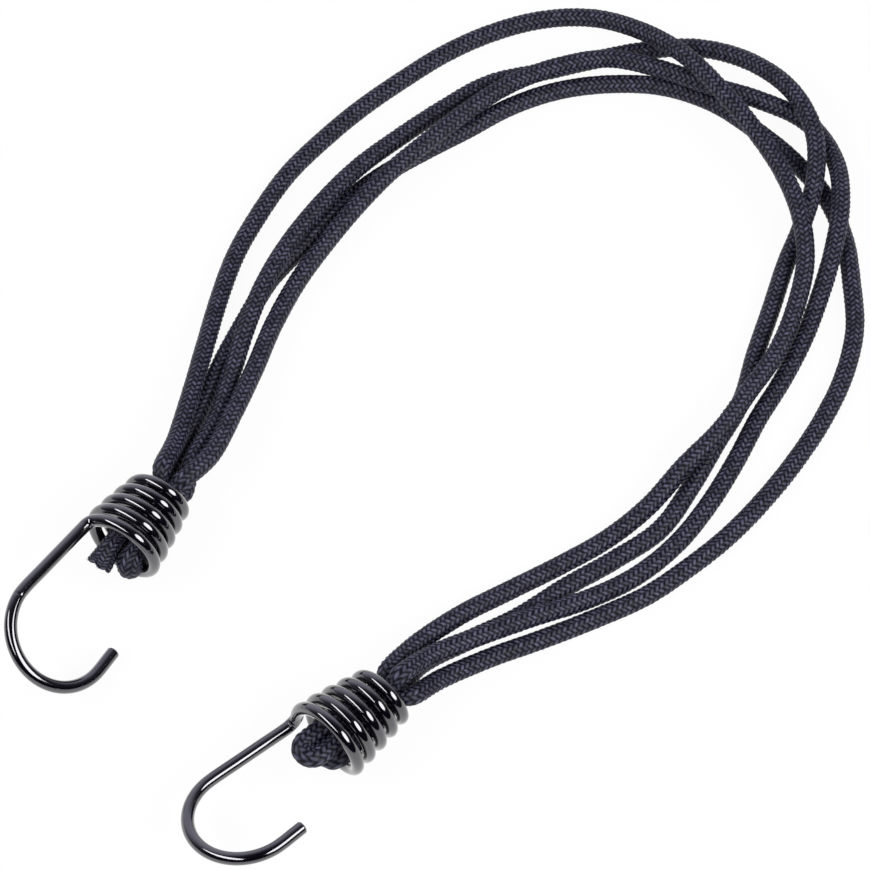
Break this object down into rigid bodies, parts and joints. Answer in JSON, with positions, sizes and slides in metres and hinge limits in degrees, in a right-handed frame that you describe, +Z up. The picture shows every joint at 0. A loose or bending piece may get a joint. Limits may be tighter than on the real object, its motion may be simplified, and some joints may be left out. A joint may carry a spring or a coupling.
{
  "type": "laced bungee strap with wire hooks",
  "caption": "Elastic strap laced from one braided cord between wire hooks, each hook wound into a tapered coil that grips the folded strands.",
  "frame": {"origin": "on the surface that the strap lies on, under the middle of the box round the two hooks", "axes": "+X from the left hook to the right hook, +Y from the hooks towards the arch of the strands, +Z up"},
  "size_m": [0.1961, 0.3314, 0.0285],
  "materials": {
    "coated_wire": "gloss black coating on steel wire",
    "braid": "woven charcoal polyester braid",
    "rubber": "bundled rubber threads"
  },
  "bodies": {
    "cords": {"strand_1_sheath": "braid", "strand_1_core": "rubber", "strand_2_sheath": "braid", "strand_2_core": "rubber", "strand_3_sheath": "braid", "strand_3_core": "rubber", "strand_4_sheath": "braid", "strand_4_core": "rubber", "left_fold_sheath": "braid", "left_fold_core": "rubber", "left_tail_1_sheath": "braid", "left_tail_1_core": "rubber", "left_tail_2_sheath": "braid", "left_tail_2_core": "rubber"},
    "right_end": {"right_fold_1_sheath": "braid", "right_fold_1_core": "rubber", "right_fold_2_sheath": "braid", "right_fold_2_core": "rubber"},
    "left_hook": {"left_hook": "coated_wire"},
    "right_hook": {"right_hook": "coated_wire"}
  },
  "joints": [
    {"name": "stretch", "type": "slide", "parent": "cords", "child": "right_end", "axis": [-0.1323, -0.9912, 0], "range_m": [0, 0.25], "stiffness_N_per_m": 800, "deforming": ["strand_1_sheath", "strand_1_core", "strand_2_sheath", "strand_2_core", "strand_3_sheath", "strand_3_core", "strand_4_sheath", "strand_4_core"]},
    {"name": "left_hook_swivel", "type": "hinge", "parent": "cords", "child": "left_hook", "pos_m": [-0.0465, 0.0175, 0.014], "axis": [-0.1436, 0.9841, -0.1045], "range_deg": [-90, 90]},
    {"name": "right_hook_swivel", "type": "hinge", "parent": "right_end", "child": "right_hook", "pos_m": [0.0435, 0.0086, 0.01375], "axis": [0.1321, 0.9898, -0.0541], "range_deg": [-90, 90]}
  ]
}
